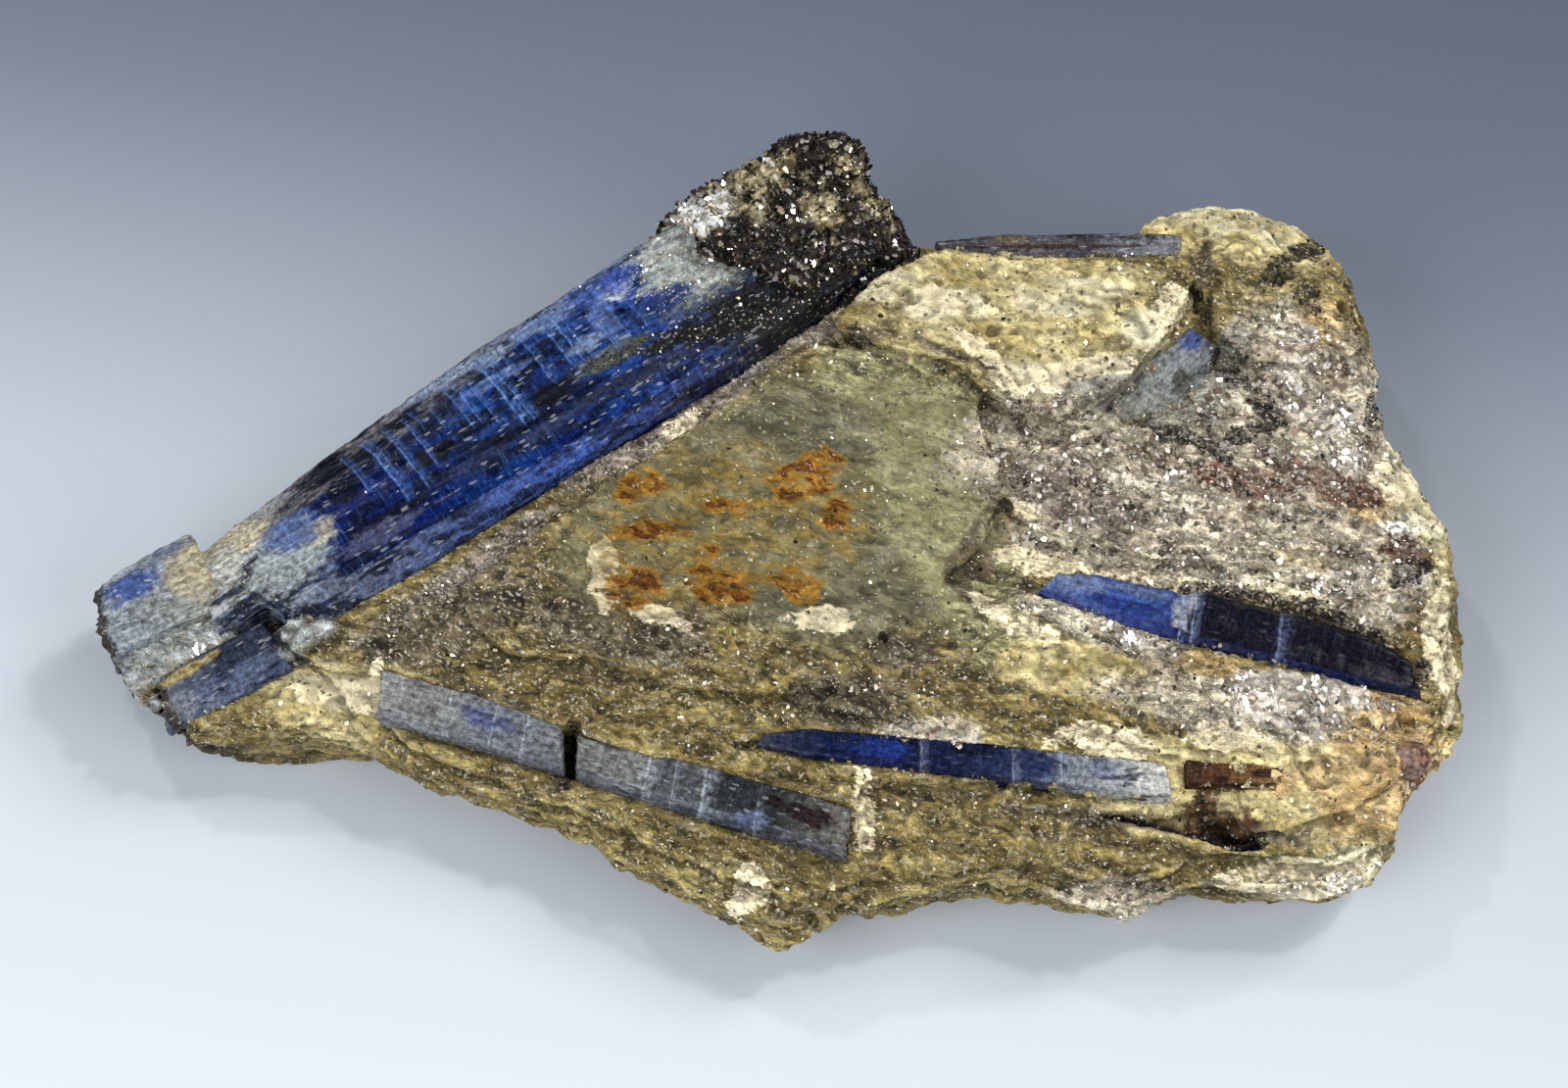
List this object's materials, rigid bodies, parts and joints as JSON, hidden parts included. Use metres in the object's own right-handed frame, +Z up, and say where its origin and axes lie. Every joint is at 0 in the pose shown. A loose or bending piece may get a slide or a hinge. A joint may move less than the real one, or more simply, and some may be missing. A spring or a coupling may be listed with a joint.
{
  "type": "mineral specimen",
  "caption": "Flat slab of golden mica schist, pointed at one end, with blue kyanite blades lying in its upper face and dark mica grown over the largest one.",
  "frame": {"origin": "centre of the underside, on the surface the slab rests on", "axes": "+X along the slab's length towards its broad end, +Y across it towards the rim blade, +Z up out of the face that carries the crystals"},
  "size_m": [0.1094, 0.0676, 0.0202],
  "materials": {
    "schist": "golden olive muscovite schist, foliated, sparkling with small mica flakes",
    "biotite": "black to brown biotite books with glinting cleavage faces",
    "deep_blue_kyanite": "zoned deep blue, glassy, finely striated lengthwise, crossed by pale partings",
    "pale_kyanite": "clear to milky pale blue with a deeper blue spot",
    "grey_kyanite": "translucent grey-blue, striated",
    "navy_kyanite": "navy to nearly black, glassy",
    "rusty_kyanite": "iron-stained red brown",
    "garnet": "dull red-brown grain"
  },
  "bodies": {
    "root": {"schist_matrix": "schist", "biotite_crust": "biotite", "large_blade": "deep_blue_kyanite", "tip_segment": "pale_kyanite", "foot_blade": "grey_kyanite", "grey_blade_upper": "grey_kyanite", "grey_blade_lower": "grey_kyanite", "navy_blade": "navy_kyanite", "rusty_stub": "rusty_kyanite", "inset_blade": "navy_kyanite", "rim_blade": "grey_kyanite", "buried_blade": "grey_kyanite", "garnet_grain": "garnet"}
  },
  "joints": []
}
